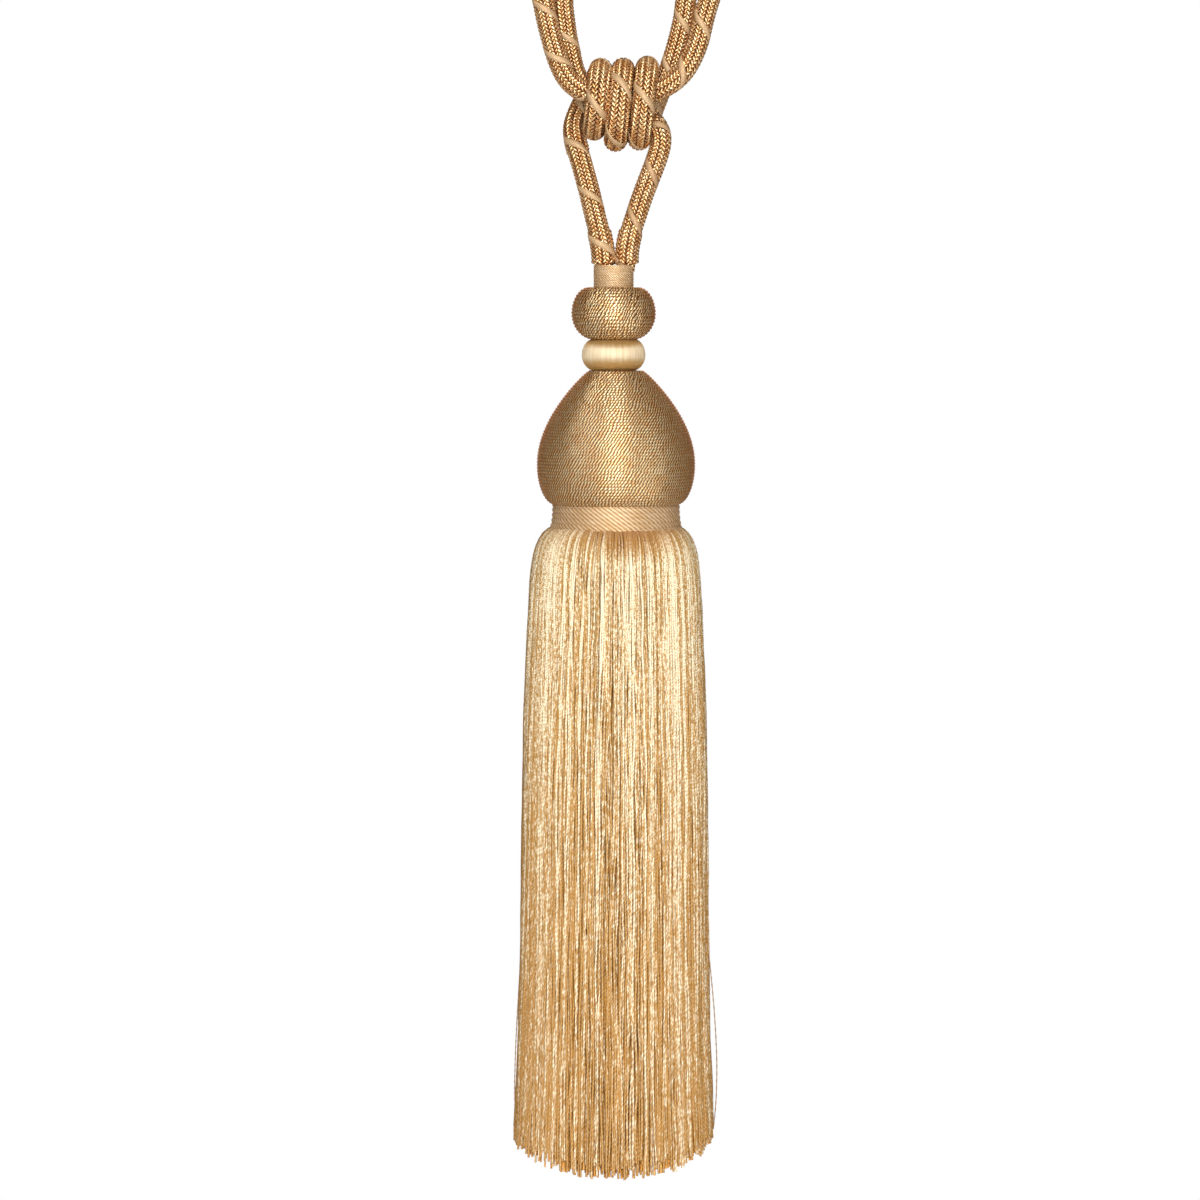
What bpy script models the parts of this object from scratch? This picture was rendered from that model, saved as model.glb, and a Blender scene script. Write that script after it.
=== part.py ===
"""Silk tassel on a braided cord tie: the construction, in metres, +Z up, the front facing -Y.

The origin is the top of the hanging loops. Everything hangs below it.
"""
import math
import random

import bmesh
import bpy
from mathutils import Vector

MM = 0.001

# Driving dimensions, in millimetres
CORD_DIAMETER = 7.0
CORD_SIDES = 10
NECK_SIDES = 24
BEAD_SIDES = 36
RING_SIDES = 32
HEAD_SIDES = 40
COLLAR_SIDES = 36
FIT_GAP = 0.3
STRAIGHT_STEP = 9.0
LOOP_STEP = 5.0
KNOT_STEP = 3.0
LOOP_BENDS_BELOW_TOP = 30.0

# Heights below the top of the loops
NECK_TOP = 139.4
NECK_END = 146.6
BEAD_END = 163.6
RING_END = 173.6
HEAD_END = 217.8
COLLAR_END = 225.8
FLANGE_END = 227.0
HEM = 435.5

# The beads sit a little to the left of the head, as in a real, soft tassel
BEAD_OFFSET = -0.8
NECK_WIDTH = 13.3
NECK_DEPTH = 10.4
NECK_EDGE = 0.5
BEAD_RADIUS = 14.0
BEAD_SHOULDER = 9.0
RING_RADIUS = 10.6
RING_SHOULDER = 8.0
HEAD_RADIUS = 26.3
HEAD_TOP_RADIUS = 8.7
HEAD_FOOT_RADIUS = 17.3
HEAD_WIDEST = 204.9
HEAD_FULLNESS = 0.84
COLLAR_RADIUS = 21.2
COLLAR_SPREAD = 0.9
COLLAR_TURNS = 5
RIDGE_SHOULDER = 0.55
COLLAR_BORE = 19.5
CORE_RADIUS = 19.2
FLANGE_RADIUS = 22.4

# The embrace: one closed loop of cord. Its two ends meet inside the knot.
# Columns: across (+ is right), depth (+ is back), height.
EMBRACE_ROUTE = (
    (0.6, -3.3, -83.2),
    (-6.0, -3.3, -83.0),
    (-11.2, -3.7, -81.8),
    (-15.6, -3.8, -78.4),
    (-18.6, -3.6, -73.0),
    (-20.9, -3.3, -65.8),
    (-22.7, -2.9, -58.8),
    (-24.4, -2.3, -50.8),
    (-28.0, -1.4, -40.0),
    (-33.6, -0.5, -28.5),
    (-36.6, 0.0, -17.5),
    (-32.4, 0.0, -7.5),
    (-22.3, 0.1, -3.5),
    (-12.2, 0.2, -7.5),
    (-8.0, 0.4, -17.5),
    (-10.8, 1.1, -28.5),
    (-15.6, 1.9, -40.0),
    (-17.6, 2.5, -50.8),
    (-16.9, 3.0, -59.5),
    (-15.3, 3.5, -68.8),
    (-13.2, 3.7, -76.4),
    (-8.8, 3.5, -82.0),
    (-2.0, 3.3, -83.6),
    (5.0, 3.3, -83.6),
    (11.0, 3.5, -82.6),
    (15.7, 3.7, -78.8),
    (18.5, 3.6, -72.2),
    (20.8, 3.2, -64.4),
    (22.6, 2.5, -56.0),
    (22.9, 2.0, -47.0),
    (19.8, 1.2, -36.0),
    (15.4, 0.4, -26.0),
    (14.0, 0.1, -16.5),
    (18.3, 0.0, -7.5),
    (28.3, 0.0, -3.5),
    (38.4, -0.1, -7.5),
    (42.6, -0.3, -17.5),
    (39.4, -0.9, -30.5),
    (33.6, -1.8, -43.5),
    (29.4, -2.7, -56.0),
    (26.2, -3.3, -68.0),
    (21.8, -3.7, -76.0),
    (15.6, -3.8, -80.8),
    (8.6, -3.4, -83.0),
    (1.4, -3.3, -83.2),
)

# The left leg of the tassel's loop, from the neck up to the back of the knot
LEG_ROUTE = (
    (-4.1, 0.0, -138.9),
    (-4.3, 0.0, -134.8),
    (-5.4, 0.0, -128.8),
    (-7.1, 0.2, -122.1),
    (-8.9, 0.8, -114.5),
    (-10.9, 2.3, -107.1),
    (-12.6, 4.4, -101.2),
    (-13.5, 6.5, -97.0),
    (-13.6, 8.9, -92.9),
    (-12.0, 11.2, -88.0),
)

# The right leg, from the neck up and in under the turns of the knot
TAIL_ROUTE = (
    (3.5, 0.0, -138.9),
    (3.6, 0.0, -134.8),
    (4.7, 0.0, -128.8),
    (6.8, 0.0, -122.1),
    (9.4, 0.0, -114.5),
    (12.0, 0.0, -107.8),
    (13.8, 0.0, -102.8),
    (14.7, 0.0, -98.4),
    (14.0, 0.0, -94.4),
    (11.7, 0.0, -91.6),
    (8.4, 0.0, -90.4),
    (4.6, 0.0, -90.2),
    (0.6, 0.0, -90.2),
)

# The three turns of the knot. Columns: across at the top, height there, across at the bottom, height there
TURNS = (
    (-5.0, -74.9, -7.2, -94.2),
    (2.3, -74.8, -0.2, -97.9),
    (10.3, -74.2, 7.6, -97.5),
)
TURN_DEPTH = 12.0
TURN_SQUARENESS = 2.2
TURN_POINTS = 16
TURN_ADVANCE = 9.9
FIRST_TURN_START = -0.36
LAST_TURN_END = 0.62
# The knot squeezes the cords that lie in it, and most of all those that its turns hide
KNOT_TOP = -70.0
KNOT_BOTTOM = -102.0
KNOT_HALF_WIDTH = 21.0
KNOT_SQUEEZE = 0.93
HIDDEN_MIDDLE = 1.5
HIDDEN_HALF_WIDTH = 11.0
HIDDEN_SQUEEZE = 0.8

# The skirt's outline. Columns: height, outer radius, drift to the left
SKIRT_OUTLINE = (
    (-227.0, 22.6, 0.0),
    (-229.4, 24.9, 0.0),
    (-232.8, 26.6, 0.0),
    (-250.8, 28.5, 0.1),
    (-297.5, 30.7, 0.3),
    (-364.0, 31.5, 0.6),
    (-401.0, 33.1, 0.8),
    (-435.5, 33.7, 0.8),
)

# The rings of strands, from the outside in. Columns: the root's outer and inner radius, how far the ring
# lies inside the outline as a share of it, width as a share of the pitch, depth, twist from root to end in
# pitches, heights at which the strand bends
STRANDS_PER_RING = 72
SKIRT_RINGS = (
    (21.9, 18.9, 0.0, 0.80, 2.3, 0.0, (-229.4, -232.8, -250.8, -330.0)),
    (18.3, 15.0, 0.135, 0.78, 4.0, 0.5, (-232.8, -330.0)),
    (14.4, 10.6, 0.365, 0.76, 7.0, 0.0, (-232.8,)),
)
ROOT_SHARE = 0.66
END_TAPER = 0.62
HEM_UNEVENNESS = 2.6
HEM_SIDE_RISE = 3.4
SWAY = 0.24
# One strand on the right bows out above the hem
STRAY_STRAND = 0
STRAY_BOW = 2.2
STRAY_MIDDLE = -404.0
STRAY_REACH = 34.0
STRAY_BENDS = 6
SEED = 11


def clear_scene():
    """Remove whatever the file holds, so that only the tassel is left."""
    for thing in list(bpy.data.objects):
        bpy.data.objects.remove(thing, do_unlink=True)


def finish_material(name, colour, roughness, metallic=0.0):
    """One plain finish."""
    material = bpy.data.materials.new(name)
    material.use_nodes = True
    shader = material.node_tree.nodes["Principled BSDF"]
    shader.inputs["Base Color"].default_value = (*colour, 1.0)
    shader.inputs["Roughness"].default_value = roughness
    shader.inputs["Metallic"].default_value = metallic
    return material


def add_object(name, mesh, material):
    """Place a finished mesh or curve in the scene under its own name."""
    thing = bpy.data.objects.new(name, mesh)
    thing.data.materials.append(material)
    bpy.context.scene.collection.objects.link(thing)
    return thing


def smooth_line(points, steps=16):
    """A smooth curve through the route's points: a centripetal Catmull-Rom spline."""
    points = [Vector(point) for point in points]
    padded = [2 * points[0] - points[1], *points, 2 * points[-1] - points[-2]]
    line = []
    for before, start, end, after in zip(padded, padded[1:], padded[2:], padded[3:]):
        t1 = (start - before).length ** 0.5
        t2 = t1 + (end - start).length ** 0.5
        t3 = t2 + (after - end).length ** 0.5
        for step in range(steps):
            t = t1 + (t2 - t1) * step / steps
            a1 = before.lerp(start, t / t1)
            a2 = start.lerp(end, (t - t1) / (t2 - t1))
            a3 = end.lerp(after, (t - t2) / (t3 - t2))
            b1 = a1.lerp(a2, t / t2)
            b2 = a2.lerp(a3, (t - t1) / (t3 - t1))
            line.append(b1.lerp(b2, (t - t1) / (t2 - t1)))
    line.append(points[-1])
    return line


def read_along(line, step_at):
    """Read points along a line, as far apart as step_at says for each place."""
    kept = [line[0]]
    travelled = 0.0
    for here, there in zip(line, line[1:]):
        travelled += (there - here).length
        if travelled >= step_at(there):
            kept.append(there)
            travelled = 0.0
    if (kept[-1] - line[-1]).length < 0.6 * step_at(line[-1]):
        kept.pop()
    kept.append(line[-1])
    return kept


def in_knot(point):
    """True where a cord bends in or close to the knot."""
    return KNOT_BOTTOM < point.z < KNOT_TOP and abs(point.x) < KNOT_HALF_WIDTH


def tube_step(point):
    """Short steps in the knot and in the loops' bends, long ones elsewhere."""
    if in_knot(point):
        return KNOT_STEP
    if point.z > -LOOP_BENDS_BELOW_TOP:
        return LOOP_STEP
    return STRAIGHT_STEP


def turn_points():
    """The centreline of the knot's turns, front passes going down and back passes going up."""
    across = [TURNS[0][0] - TURN_ADVANCE]
    heights = [TURNS[0][3]]
    for top_x, top_z, bottom_x, bottom_z in TURNS:
        across += [top_x, bottom_x]
        heights += [top_z, bottom_z]
    across.append(TURNS[-1][2] + TURN_ADVANCE)
    heights.append(TURNS[-1][1])
    power = 2 / TURN_SQUARENESS
    first = FIRST_TURN_START
    last = 2 * len(TURNS) - 1 + LAST_TURN_END
    count = int((last - first) / 2 * TURN_POINTS)
    points = []
    for index in range(count + 1):
        half_turns = first + (last - first) * index / count
        stage = math.floor(half_turns) + 1
        share = (1 - math.cos((half_turns - stage + 1) * math.pi)) / 2
        x = across[stage] + (across[stage + 1] - across[stage]) * share
        middle = (heights[stage] + heights[stage + 1]) / 2
        half_height = abs(heights[stage + 1] - heights[stage]) / 2
        rise = math.cos(half_turns * math.pi)
        depth = -math.sin(half_turns * math.pi)
        z = middle + half_height * math.copysign(abs(rise) ** power, rise)
        y = TURN_DEPTH * math.copysign(abs(depth) ** power, depth)
        points.append((x, y, z))
    return points


def squeeze(point, hidden):
    """How far a cord is squeezed where it lies in the knot."""
    if not in_knot(point):
        return 1.0
    if hidden and abs(point.x - HIDDEN_MIDDLE) < HIDDEN_HALF_WIDTH:
        return HIDDEN_SQUEEZE
    return KNOT_SQUEEZE


def make_cord(name, line, material, hidden=False):
    """A round cord along a line, with flat ends."""
    curve = bpy.data.curves.new(name, "CURVE")
    curve.dimensions = "3D"
    curve.bevel_depth = CORD_DIAMETER / 2 * MM
    curve.bevel_resolution = CORD_SIDES // 2 - 2
    curve.use_fill_caps = True
    spline = curve.splines.new("POLY")
    points = read_along(line, tube_step)
    spline.points.add(len(points) - 1)
    for target, point in zip(spline.points, points):
        target.co = (*(point * MM), 1.0)
        target.radius = squeeze(point, hidden)
    return add_object(name, curve, material)


def ring_of_points(form, sides, radius, height, centre=0.0, depth_scale=1.0):
    """Points round the vertical axis at one height."""
    ring = []
    for index in range(sides):
        angle = 2 * math.pi * index / sides
        place = Vector((centre + radius * math.cos(angle), depth_scale * radius * math.sin(angle), height))
        ring.append(form.verts.new(place * MM))
    return ring


def make_turned(name, profile, material, segments, centre=0.0, depth_scale=1.0):
    """A solid turned about the vertical axis. The profile runs from its top to its bottom."""
    form = bmesh.new()
    rings = [ring_of_points(form, segments, *spot, centre, depth_scale) for spot in profile]
    for upper, lower in zip(rings, rings[1:]):
        for index in range(segments):
            after = (index + 1) % segments
            form.faces.new((upper[index], lower[index], lower[after], upper[after]))
    form.faces.new(rings[0])
    form.faces.new(list(reversed(rings[-1])))
    return close_form(name, form, material)


def make_turned_ring(name, outside, bore, material, segments):
    """A turned band with a hole through it."""
    form = bmesh.new()
    top = outside[0][1]
    bottom = outside[-1][1]
    loop = [*outside, (bore, bottom), (bore, top)]
    rings = [ring_of_points(form, segments, *spot) for spot in loop]
    for upper, lower in zip(rings, [*rings[1:], rings[0]]):
        for index in range(segments):
            after = (index + 1) % segments
            form.faces.new((upper[index], lower[index], lower[after], upper[after]))
    return close_form(name, form, material)


def close_form(name, form, material, smooth_angle=math.radians(50)):
    """Turn a bmesh into an object with its faces outward and its round sides smooth."""
    bmesh.ops.recalc_face_normals(form, faces=form.faces)
    mesh = bpy.data.meshes.new(name)
    form.to_mesh(mesh)
    form.free()
    mesh.shade_smooth()
    mesh.set_sharp_from_angle(angle=smooth_angle)
    return add_object(name, mesh, material)


def neck_profile():
    """The binding's straight side, with both its edges rounded off."""
    radius = NECK_WIDTH / 2
    bottom = -NECK_END + FIT_GAP
    return [(radius - NECK_EDGE, -NECK_TOP), (radius, -NECK_TOP - 2 * NECK_EDGE),
            (radius, bottom + 2 * NECK_EDGE), (radius - NECK_EDGE, bottom)]


def bead_profile(shoulder, radius, top, bottom, steps):
    """A rounded bead between two small flat ends."""
    middle = (top + bottom) / 2
    half = (top - bottom) / 2
    profile = []
    for index in range(steps + 1):
        turn = math.pi * index / steps
        bulge = (radius - shoulder) * math.sin(turn)
        profile.append((shoulder + bulge, middle + half * math.cos(turn)))
    return profile


def head_profile(steps_above=10, steps_below=5):
    """The pear-shaped head: narrow at the neck, widest low down, drawn in to the collar."""
    top = -RING_END - FIT_GAP
    bottom = -HEAD_END
    profile = []
    for index in range(steps_above + 1):
        share = 1 - index / steps_above
        swell = math.cos(share * math.pi / 2) ** HEAD_FULLNESS
        height = -HEAD_WIDEST + (top + HEAD_WIDEST) * share
        profile.append((HEAD_TOP_RADIUS + (HEAD_RADIUS - HEAD_TOP_RADIUS) * swell, height))
    for index in range(1, steps_below + 1):
        turn = math.pi / 2 * index / steps_below
        radius = HEAD_FOOT_RADIUS + (HEAD_RADIUS - HEAD_FOOT_RADIUS) * math.cos(turn)
        height = -HEAD_WIDEST + (bottom + HEAD_WIDEST) * math.sin(turn)
        profile.append((radius, height))
    return profile


def collar_profile():
    """Turns of cord side by side, each a half-round ridge. The lowest one sticks out most."""
    top = -HEAD_END - FIT_GAP
    turn_height = (COLLAR_END - HEAD_END - FIT_GAP) / COLLAR_TURNS
    ridge = turn_height / 2
    profile = [(COLLAR_RADIUS - ridge, top)]
    for turn in range(COLLAR_TURNS):
        crest = COLLAR_RADIUS + COLLAR_SPREAD * (turn / (COLLAR_TURNS - 1)) ** 3
        start = top - turn * turn_height
        profile.append((crest, start - ridge * RIDGE_SHOULDER))
        profile.append((crest, start - ridge * (2 - RIDGE_SHOULDER)))
        profile.append((crest - ridge, start - turn_height))
    return profile


def outline_at(height):
    """The skirt's outer radius and its drift at a height."""
    for upper, lower in zip(SKIRT_OUTLINE, SKIRT_OUTLINE[1:]):
        if height >= lower[0]:
            share = (upper[0] - height) / (upper[0] - lower[0])
            return (upper[1] + (lower[1] - upper[1]) * share, upper[2] + (lower[2] - upper[2]) * share)
    return SKIRT_OUTLINE[-1][1:]


def strand_section(form, angle, radius, half_width, half_depth, height, drift):
    """The four corners of a strand's cross-section at one height."""
    out = Vector((math.cos(angle), math.sin(angle), 0.0))
    along = Vector((-math.sin(angle), math.cos(angle), 0.0))
    middle = out * radius + Vector((-drift, 0.0, height))
    corners = ((1, -1), (1, 1), (-1, 1), (-1, -1))
    section = []
    for outward, sideways in corners:
        place = middle + out * half_depth * outward + along * half_width * sideways
        section.append(form.verts.new(place * MM))
    return section


def bridge_sections(form, upper, lower):
    """The four sides of a strand between two of its sections."""
    for index in range(4):
        after = (index + 1) % 4
        form.faces.new((upper[index], lower[index], lower[after], upper[after]))


def stray_bow(height):
    """How far the loose strand stands out at a height."""
    distance = abs(height - STRAY_MIDDLE) / STRAY_REACH
    if distance >= 1:
        return 0.0
    return STRAY_BOW * math.cos(distance * math.pi / 2) ** 2


def strand_heights(bends, end, stray):
    """The heights at which a strand has a cross-section, below its root."""
    if not stray:
        return [*bends, end]
    start = STRAY_MIDDLE + STRAY_REACH
    step = (start - end) / STRAY_BENDS
    return [*bends, *(start - step * index for index in range(STRAY_BENDS)), end]


def grow_strand(form, cell, ring, index, dice):
    """One strand, grown down from its cell on the underside of the flange."""
    root_outer, root_inner, inset, fill, depth, twist, bends = ring
    pitch = 2 * math.pi / STRANDS_PER_RING
    angle = pitch * (index + 0.5)
    root_radius = (root_outer + root_inner) / 2
    upper = strand_section(form, angle, root_radius, ROOT_SHARE * pitch * root_radius / 2,
                           ROOT_SHARE * (root_outer - root_inner) / 2, -FLANGE_END, 0.0)
    bridge_sections(form, cell, upper)
    sway = dice.uniform(-SWAY, SWAY)
    side = 1 - max(0.0, -math.sin(angle))
    end = -HEM + dice.uniform(0.0, HEM_UNEVENNESS) + HEM_SIDE_RISE * side
    stray = index == STRAY_STRAND and ring is SKIRT_RINGS[0]
    for height in strand_heights(bends, end, stray):
        outline, drift = outline_at(height)
        share = (height + FLANGE_END) / (FLANGE_END - HEM)
        radius = outline * (1 - inset) - depth / 2
        if stray:
            radius += stray_bow(height)
        taper = END_TAPER if height == end else 1.0
        half_width = fill * taper * pitch * radius / 2
        turned = angle + sway * share / radius + twist * pitch * share
        lower = strand_section(form, turned, radius, half_width, depth * taper / 2, height, drift)
        bridge_sections(form, upper, lower)
        upper = lower
    form.faces.new(list(reversed(upper)))


def make_skirt(material):
    """The heading, which the collar goes round, and the strands fused into its flange."""
    dice = random.Random(SEED)
    form = bmesh.new()
    top = -HEAD_END - FIT_GAP
    rim_top = -COLLAR_END - FIT_GAP
    radii = [(CORE_RADIUS, top), (CORE_RADIUS, rim_top)]
    radii += [(FLANGE_RADIUS, rim_top), (FLANGE_RADIUS, -FLANGE_END)]
    for root_outer, root_inner, *_ in SKIRT_RINGS:
        radii += [(root_outer, -FLANGE_END), (root_inner, -FLANGE_END)]
    rings = [ring_of_points(form, STRANDS_PER_RING, *spot) for spot in radii]
    first_cell_row = 4
    inner_disc = rings[-1]
    for row, (upper, lower) in enumerate(zip(rings, rings[1:])):
        strand_row = row >= first_cell_row and (row - first_cell_row) % 2 == 0
        for index in range(STRANDS_PER_RING):
            after = (index + 1) % STRANDS_PER_RING
            cell = (upper[index], upper[after], lower[after], lower[index])
            if strand_row:
                grow_strand(form, cell, SKIRT_RINGS[(row - first_cell_row) // 2], index, dice)
            else:
                form.faces.new(tuple(reversed(cell)))
    form.faces.new(rings[0])
    form.faces.new(list(reversed(inner_disc)))
    return close_form("skirt", form, material)


def main():
    clear_scene()
    braid = finish_material("braid_gold", (0.55, 0.32, 0.12), 0.4, 0.3)
    floss = finish_material("winding_gold", (0.66, 0.40, 0.16), 0.35, 0.2)
    cream = finish_material("cream_floss", (0.86, 0.73, 0.53), 0.4)
    beige = finish_material("beige_cord", (0.72, 0.55, 0.36), 0.6)
    fringe = finish_material("fringe_silk", (0.74, 0.54, 0.32), 0.45)

    make_cord("embrace_cord", smooth_line(EMBRACE_ROUTE), braid, hidden=True)
    make_cord("loop_cord", smooth_line([*LEG_ROUTE, *turn_points()]), braid)
    make_cord("loop_tail", smooth_line(TAIL_ROUTE), braid, hidden=True)

    make_turned("neck_binding", neck_profile(), beige, NECK_SIDES, BEAD_OFFSET, NECK_DEPTH / NECK_WIDTH)
    bead = bead_profile(BEAD_SHOULDER, BEAD_RADIUS, -NECK_END, -BEAD_END + FIT_GAP, 10)
    make_turned("upper_bead", bead, floss, BEAD_SIDES, BEAD_OFFSET)
    ring = bead_profile(RING_SHOULDER, RING_RADIUS, -BEAD_END, -RING_END, 7)
    make_turned("lower_bead", ring, cream, RING_SIDES, BEAD_OFFSET)
    make_turned("head", head_profile(), floss, HEAD_SIDES)
    make_turned_ring("collar", collar_profile(), COLLAR_BORE, beige, COLLAR_SIDES)
    make_skirt(fringe)


main()
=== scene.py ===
# %% [markdown]
# # A silk tassel on a braided cord tie
#
# The real piece is made by winding, braiding and cutting thread. A pear-shaped mould and a bead are wound
# with shiny gold gimp, a slim bead is covered with cream floss, a beige cord is wound round the top of a
# long cut fringe, and a braided cord ties the tassel to a longer cord with two hanging loops.
#
# The solids of the construction are loaded first and stay where they are. Each cell below makes the thread
# surface that takes the place of one of them.

# %% Load the construction
import math

import bmesh
import bpy
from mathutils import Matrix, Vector


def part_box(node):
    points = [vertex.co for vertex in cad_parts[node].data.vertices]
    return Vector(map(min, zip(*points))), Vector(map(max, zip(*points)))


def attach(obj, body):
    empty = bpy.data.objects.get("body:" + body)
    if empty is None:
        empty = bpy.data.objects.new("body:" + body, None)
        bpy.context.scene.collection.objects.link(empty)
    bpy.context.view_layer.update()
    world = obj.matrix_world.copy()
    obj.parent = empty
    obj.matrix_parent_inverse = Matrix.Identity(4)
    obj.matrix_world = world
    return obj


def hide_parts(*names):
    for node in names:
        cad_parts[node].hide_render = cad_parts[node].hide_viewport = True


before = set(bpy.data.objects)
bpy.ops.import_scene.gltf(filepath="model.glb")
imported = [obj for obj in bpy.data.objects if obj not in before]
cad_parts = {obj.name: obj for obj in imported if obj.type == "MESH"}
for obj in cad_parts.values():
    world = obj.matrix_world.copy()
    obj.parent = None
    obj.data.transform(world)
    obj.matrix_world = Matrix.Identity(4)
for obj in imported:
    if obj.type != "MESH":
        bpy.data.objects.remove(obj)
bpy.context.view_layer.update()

MM = 0.001
FULL_TURN = 2 * math.pi
print("construction:", len(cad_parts), "nodes")

# %% [markdown]
# ## Camera
#
# The rows of winding are level near the neck and sag more and more below it. So the camera stands level
# with the beads, 1.4 metres away, and is tilted down until the frame takes in 40 centimetres of height.

# %% Place the camera
CAMERA_DISTANCE = 1.4
EYE_LEVEL = -0.1508
CAMERA_ACROSS = -0.0053
CAMERA_TILT = math.radians(4.05)
LENS = 126.75

camera_data = bpy.data.cameras.new("camera")
camera_data.lens = LENS
camera_data.sensor_width = 36.0
camera = bpy.data.objects.new("camera", camera_data)
camera.location = (CAMERA_ACROSS, -CAMERA_DISTANCE, EYE_LEVEL)
camera.rotation_euler = (math.pi / 2 - CAMERA_TILT, 0.0, 0.0)
bpy.context.scene.collection.objects.link(camera)
bpy.context.scene.camera = camera

# %% [markdown]
# ## Helpers for node trees
#
# Geometry and materials are both built from nodes here. What a node gives is held as a value, and each
# step of arithmetic on values adds a node to their tree, so that the trees below read like sums.

# %% Add nodes in few words
def sign(operation, swapped=False):
    """What an arithmetic sign does with a value and what stands on its other side."""
    if swapped:
        return lambda self, other: calc(operation, other, self)
    return lambda self, other: calc(operation, self, other)


class Value:
    """What a node gives. Arithmetic on it adds nodes to the same tree."""

    def __init__(self, socket):
        self.socket = socket

    __add__ = sign("ADD")
    __sub__ = sign("SUBTRACT")
    __rsub__ = sign("SUBTRACT", swapped=True)
    __mul__ = sign("MULTIPLY")
    __truediv__ = sign("DIVIDE")
    __rtruediv__ = sign("DIVIDE", swapped=True)


def link(value, socket):
    """Lead what a node gives into another node's input."""
    socket.id_data.links.new(value.socket, socket)


def add_node(tree, kind, inputs=None, **settings):
    """Add a node. An input takes a number, a colour, a material or what another node gives."""
    node = tree.nodes.new(kind)
    for name, value in settings.items():
        setattr(node, name, value)
    for key, value in (inputs or {}).items():
        if isinstance(value, Value):
            link(value, node.inputs[key])
        else:
            node.inputs[key].default_value = value
    return node


def made(tree, kind, inputs=None, output=0, **settings):
    """Add a node and hold what it gives."""
    return Value(add_node(tree, kind, inputs, **settings).outputs[output])


def tree_of(*values):
    """The tree that values are in. Plain numbers may stand among them."""
    return next(value.socket.id_data for value in values if isinstance(value, Value))


def calc(operation, *values):
    """One step of arithmetic on numbers."""
    return made(tree_of(*values), "ShaderNodeMath", dict(enumerate(values)), operation=operation)


def vector_calc(operation, *values, output=0):
    """One step of arithmetic on vectors."""
    inputs = dict(enumerate(values))
    return made(tree_of(*values), "ShaderNodeVectorMath", inputs, output, operation=operation)


def scaled(vector, amount):
    """A vector times a number."""
    return made(tree_of(vector), "ShaderNodeVectorMath", {0: vector, "Scale": amount}, operation="SCALE")


def limited(value, low=0.0, high=1.0):
    """A number kept between two others."""
    return calc("MINIMUM", calc("MAXIMUM", value, low), high)


def vector_of(x, y, z):
    """Three numbers made one vector."""
    return made(tree_of(x, y, z), "ShaderNodeCombineXYZ", {0: x, 1: y, 2: z})


def parts_of(vector):
    """The three numbers of a vector."""
    return [Value(part) for part in add_node(tree_of(vector), "ShaderNodeSeparateXYZ", {0: vector}).outputs]


def noise(place, detail, scale=1.0, output="Fac"):
    """Soft noise at a place."""
    inputs = {"Vector": place, "Scale": scale, "Detail": detail}
    return made(tree_of(place), "ShaderNodeTexNoise", inputs, output)


def new_group(name, inputs, outputs=None):
    """A node group with named inputs and outputs of given types. Without outputs it makes a mesh."""
    tree = bpy.data.node_groups.new(name, "ShaderNodeTree" if outputs else "GeometryNodeTree")
    for direction, sockets in (("INPUT", inputs), ("OUTPUT", outputs or {"Geometry": "Geometry"})):
        for label, socket_type in sockets.items():
            tree.interface.new_socket(label, in_out=direction, socket_type="NodeSocket" + socket_type)
    entry = tree.nodes.new("NodeGroupInput")

    def given(label):
        """What comes in under a name."""
        return Value(entry.outputs[label])

    return tree, given, tree.nodes.new("NodeGroupOutput").inputs


# %% [markdown]
# ## From a tree to a piece
#
# A geometry tree is run once on an empty host and its result kept as a plain mesh, so every piece is real
# geometry. The guides that a tree follows are chains of points, which are removed when it has run.

# %% Run trees and keep their meshes
def guide_curve(name, points, squeezes=None):
    """A guide for a tree: a chain of points in metres, with an optional squeeze at each."""
    curve = bpy.data.curves.new(name, "CURVE")
    curve.dimensions = "3D"
    spline = curve.splines.new("POLY")
    spline.points.add(len(points) - 1)
    for index, point in enumerate(points):
        spline.points[index].co = (*point, 1.0)
        spline.points[index].radius = squeezes[index] if squeezes else 1.0
    guide = bpy.data.objects.new(name, curve)
    bpy.context.scene.collection.objects.link(guide)
    return guide


def run_tree(tree, values):
    """Run a geometry tree and return its result as a mesh with its faces outward."""
    host = bpy.data.objects.new("host", bpy.data.meshes.new("host"))
    bpy.context.scene.collection.objects.link(host)
    modifier = host.modifiers.new("tree", "NODES")
    modifier.node_group = tree
    for item in tree.interface.items_tree:
        if item.in_out == "INPUT" and item.name in values:
            modifier[item.identifier] = values[item.name]
    host.update_tag()
    graph = bpy.context.evaluated_depsgraph_get()
    mesh = bpy.data.meshes.new_from_object(host.evaluated_get(graph), depsgraph=graph)
    host.modifiers.remove(modifier)
    bpy.data.objects.remove(host)
    return mesh


def add_piece(name, meshes):
    """Join meshes, each with its own material, into one piece whose object sits at the origin."""
    form = bmesh.new()
    materials = []
    for mesh in meshes:
        start = len(form.faces)
        form.from_mesh(mesh)
        form.faces.ensure_lookup_table()
        material = mesh.materials[-1]
        if material not in materials:
            materials.append(material)
        for face in form.faces[start:]:
            face.material_index = materials.index(material)
        bpy.data.meshes.remove(mesh)
    bmesh.ops.recalc_face_normals(form, faces=form.faces)
    joined = bpy.data.meshes.new(name)
    form.to_mesh(joined)
    form.free()
    joined.shade_smooth()
    for material in materials:
        joined.materials.append(material)
    piece = bpy.data.objects.new(name, joined)
    bpy.context.scene.collection.objects.link(piece)
    joined.calc_loop_triangles()
    print(name, len(joined.loop_triangles), "triangles")
    return piece


def settle(piece, node, slot_name):
    """Let a piece take the place of its solid."""
    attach(piece, "root")
    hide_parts(node)


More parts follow.
